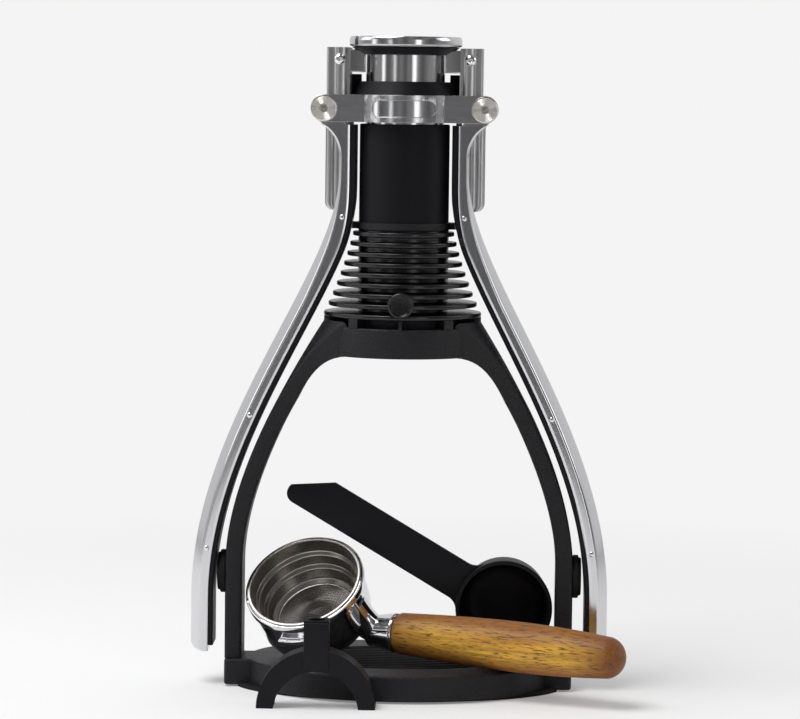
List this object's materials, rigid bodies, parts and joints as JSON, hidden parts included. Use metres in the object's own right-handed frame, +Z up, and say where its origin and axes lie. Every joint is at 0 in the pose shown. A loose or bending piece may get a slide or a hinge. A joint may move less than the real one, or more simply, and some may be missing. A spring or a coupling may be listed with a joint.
{
  "type": "manual lever espresso maker",
  "caption": "Hand-powered espresso maker: a finned chamber on a black arched frame, twin levers that lift a piston yoke, and a loose wooden-handled portafilter, scoop and spout.",
  "frame": {"origin": "centre of the underside of the base's rubber sole", "axes": "+Z up along the chamber, -Y towards the front, +X to the right seen from the front"},
  "size_m": [0.1993, 0.115, 0.2936],
  "materials": {
    "black_paint": "fine textured satin black",
    "black_chamber": "smooth satin black",
    "rubber": "matte black",
    "dark_steel": "dark machined",
    "brushed_steel": "turned and brushed",
    "polished_aluminium": "polished",
    "chrome": "mirror polished",
    "black_plastic": "matte black",
    "wood": "oiled open-grained hardwood"
  },
  "bodies": {
    "machine": {"base_plate": "black_paint", "base_sole": "rubber", "drip_mat": "rubber", "frame_casting": "black_paint", "leg_screws": "dark_steel", "lever_bumpers": "rubber", "chamber": "black_chamber", "medallion": "black_chamber", "chamber_screws": "dark_steel", "group_ring": "brushed_steel", "group_gasket": "rubber", "shower_screen": "brushed_steel", "rack_carrier": "black_paint", "left_rack": "dark_steel", "right_rack": "dark_steel", "rack_screws": "brushed_steel"},
    "yoke": {"front_band": "polished_aluminium", "rear_band": "polished_aluminium", "band_plaque": "brushed_steel", "pivot_pins": "brushed_steel", "pin_nuts": "brushed_steel", "left_rail": "polished_aluminium", "right_rail": "polished_aluminium", "rail_screws": "chrome", "rail_lugs": "brushed_steel", "funnel": "chrome", "funnel_ring": "black_chamber", "piston_tube": "brushed_steel", "tube_collar": "black_chamber", "piston_head": "black_chamber", "piston_seals": "rubber", "valve_disc": "rubber", "valve_screw": "brushed_steel"},
    "left_lever": {"left_arm": "polished_aluminium", "left_liner": "black_plastic", "left_pinion": "dark_steel", "left_rivets": "brushed_steel"},
    "right_lever": {"right_arm": "polished_aluminium", "right_liner": "black_plastic", "right_pinion": "dark_steel", "right_rivets": "brushed_steel"},
    "portafilter": {"portafilter_bowl": "chrome", "filter_basket": "brushed_steel", "basket_clip": "brushed_steel", "handle_ferrule": "chrome", "handle_rod": "dark_steel", "wooden_handle": "wood"},
    "spout": {"twin_spout": "black_plastic"},
    "coffee_scoop": {"scoop": "black_plastic"}
  },
  "joints": [
    {"name": "yoke_slide", "type": "slide", "parent": "machine", "child": "yoke", "axis": [0, 0, 1], "range_m": [0, 0.01415]},
    {"name": "left_lever_swing", "type": "hinge", "parent": "yoke", "child": "left_lever", "pos_m": [-0.0358, 0, 0.2614], "axis": [0, 1, 0], "range_deg": [0, 150]},
    {"name": "right_lever_swing", "type": "hinge", "parent": "yoke", "child": "right_lever", "pos_m": [0.0358, 0, 0.2614], "axis": [0, -1, 0], "range_deg": [0, 150]},
    {"name": "portafilter_lift", "type": "slide", "parent": "machine", "child": "portafilter", "axis": [0, -0.766, 0.6428], "range_m": [0, 0.08]},
    {"name": "spout_pull", "type": "slide", "parent": "machine", "child": "spout", "axis": [0, -1, 0], "range_m": [0, 0.06]},
    {"name": "scoop_pull", "type": "slide", "parent": "machine", "child": "coffee_scoop", "axis": [0, 1, 0], "range_m": [0, 0.06]}
  ],
  "couplings": [
    {"joint": "yoke_slide", "follows": "left_lever_swing", "m_per_rad": 0.0054},
    {"joint": "right_lever_swing", "follows": "left_lever_swing", "ratio": 1}
  ]
}
